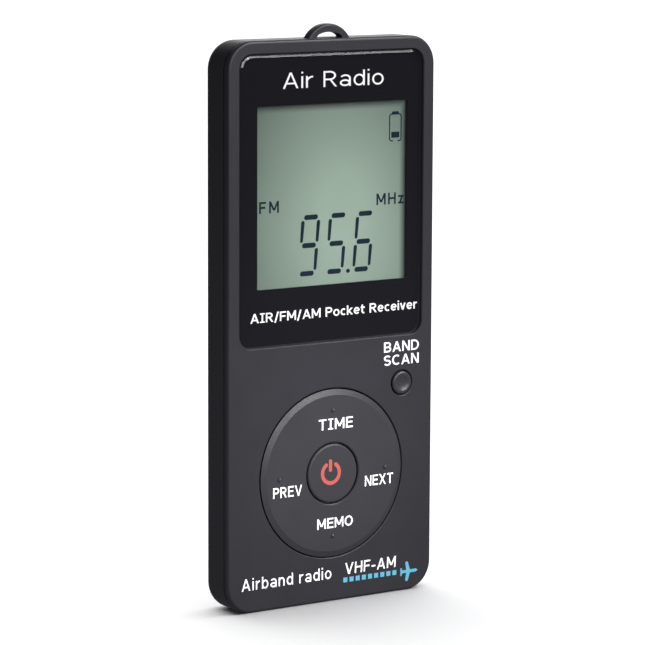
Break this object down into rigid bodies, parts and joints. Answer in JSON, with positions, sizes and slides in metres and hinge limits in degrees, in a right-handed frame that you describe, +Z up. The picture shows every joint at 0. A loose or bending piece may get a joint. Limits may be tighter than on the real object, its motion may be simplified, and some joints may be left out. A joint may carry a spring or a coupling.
{
  "type": "handheld aviation radio",
  "caption": "Thin pocket receiver with a tall display window, a round four-way ring with a power button, a scan button, side keys and a lanyard loop on top.",
  "frame": {"origin": "centre of the flat base that the radio stands on", "axes": "+Z up along the height, face towards -Y, +X to the right of a person looking at the face"},
  "size_m": [0.0441, 0.0088, 0.1025],
  "materials": {
    "casing_plastic": "fine matt texture, charcoal",
    "key_plastic": "satin charcoal",
    "scan_key_plastic": "semi-gloss charcoal",
    "lens_acrylic": "clear, polished",
    "black_adhesive": "black film",
    "polariser_film": "clear grey-green film",
    "lcd_glass": "clear glass",
    "frame_plastic": "black moulded",
    "light_guide_plastic": "diffusing acrylic",
    "reflector_film": "white film",
    "led_resin": "clear resin",
    "black_rubber": "soft, matt",
    "silicone": "translucent grey",
    "board_laminate": "green solder mask",
    "chip_resin": "moulded epoxy",
    "tinned_metal": "bright tin",
    "capacitor_ceramic": "tan ceramic",
    "capacitor_tantalum": "amber resin",
    "ferrite": "dark sintered ceramic",
    "enamelled_copper": "enamelled winding wire",
    "socket_plastic": "black nylon",
    "gilt_contact": "gold flash",
    "switch_body": "stamped cover",
    "switch_lever_plastic": "black nylon",
    "battery_foil": "silver laminate pouch",
    "connector_nylon": "natural nylon",
    "lead_insulation": "soft insulation",
    "black_steel": "black zinc",
    "label_film": "blank printed film"
  },
  "bodies": {
    "casing": {"antenna_coil": "enamelled_copper", "audio_amplifier": "chip_resin", "backlight_guide": "light_guide_plastic", "backlight_leds": "led_resin", "backlight_reflector": "reflector_film", "battery_connector": "connector_nylon", "battery_leads": "lead_insulation", "battery_pack": "battery_foil", "battery_pad": "black_adhesive", "board_screws": "black_steel", "ceramic_capacitors": "capacitor_ceramic", "charging_port_shell": "tinned_metal", "charging_port_tongue": "socket_plastic", "clock_crystal": "tinned_metal", "controller_chip": "chip_resin", "controller_leads": "tinned_metal", "display_lens": "lens_acrylic", "earphone_jack_body": "socket_plastic", "earphone_jack_contacts": "gilt_contact", "ferrite_rod": "ferrite", "front_cover": "casing_plastic", "lanyard_loop": "casing_plastic", "lcd_frame": "frame_plastic", "lcd_front_glass": "lcd_glass", "lcd_polariser": "polariser_film", "lcd_rear_glass": "lcd_glass", "lens_adhesive": "black_adhesive", "lock_switch": "switch_body", "main_board": "board_laminate", "nav_switch_down": "switch_body", "nav_switch_left": "switch_body", "nav_switch_right": "switch_body", "nav_switch_up": "switch_body", "power_switch": "switch_body", "rear_label": "label_film", "rear_shell": "casing_plastic", "scan_switch": "switch_body", "shell_screws": "black_steel", "tantalum_capacitors": "capacitor_tantalum", "tuner_chip": "chip_resin", "tuner_shield": "tinned_metal", "volume_down_switch": "switch_body", "volume_up_switch": "switch_body", "zebra_connector": "black_rubber"},
    "nav_pad": {"nav_pad": "silicone"},
    "nav_ring": {"nav_ring": "key_plastic"},
    "power_button": {"power_button": "key_plastic"},
    "scan_button": {"scan_button": "scan_key_plastic"},
    "volume_up_key": {"volume_up_key": "key_plastic"},
    "volume_down_key": {"volume_down_key": "key_plastic"},
    "lock_slider": {"lock_slider": "key_plastic", "lock_switch_lever": "switch_lever_plastic"}
  },
  "joints": [
    {"name": "nav_tilt_up_down", "type": "hinge", "parent": "casing", "child": "nav_pad", "pos_m": [0, -0.0029, 0.0232], "axis": [1, 0, 0], "range_deg": [-1, 1], "stiffness_Nm_per_rad": 0.6},
    {"name": "nav_tilt_left_right", "type": "hinge", "parent": "nav_pad", "child": "nav_ring", "pos_m": [0, -0.0029, 0.0232], "axis": [0, 0, 1], "range_deg": [-1, 1], "stiffness_Nm_per_rad": 0.6},
    {"name": "power_press", "type": "slide", "parent": "casing", "child": "power_button", "axis": [0, 1, 0], "range_m": [0, 0.00025], "stiffness_N_per_m": 2000},
    {"name": "scan_press", "type": "slide", "parent": "casing", "child": "scan_button", "axis": [0, 1, 0], "range_m": [0, 0.00025], "stiffness_N_per_m": 2000},
    {"name": "volume_up_press", "type": "slide", "parent": "casing", "child": "volume_up_key", "axis": [-1, 0, 0], "range_m": [0, 0.00025], "stiffness_N_per_m": 2000},
    {"name": "volume_down_press", "type": "slide", "parent": "casing", "child": "volume_down_key", "axis": [-1, 0, 0], "range_m": [0, 0.00025], "stiffness_N_per_m": 2000},
    {"name": "lock_slide", "type": "slide", "parent": "casing", "child": "lock_slider", "axis": [0, 0, 1], "range_m": [0, 0.0025]}
  ]
}
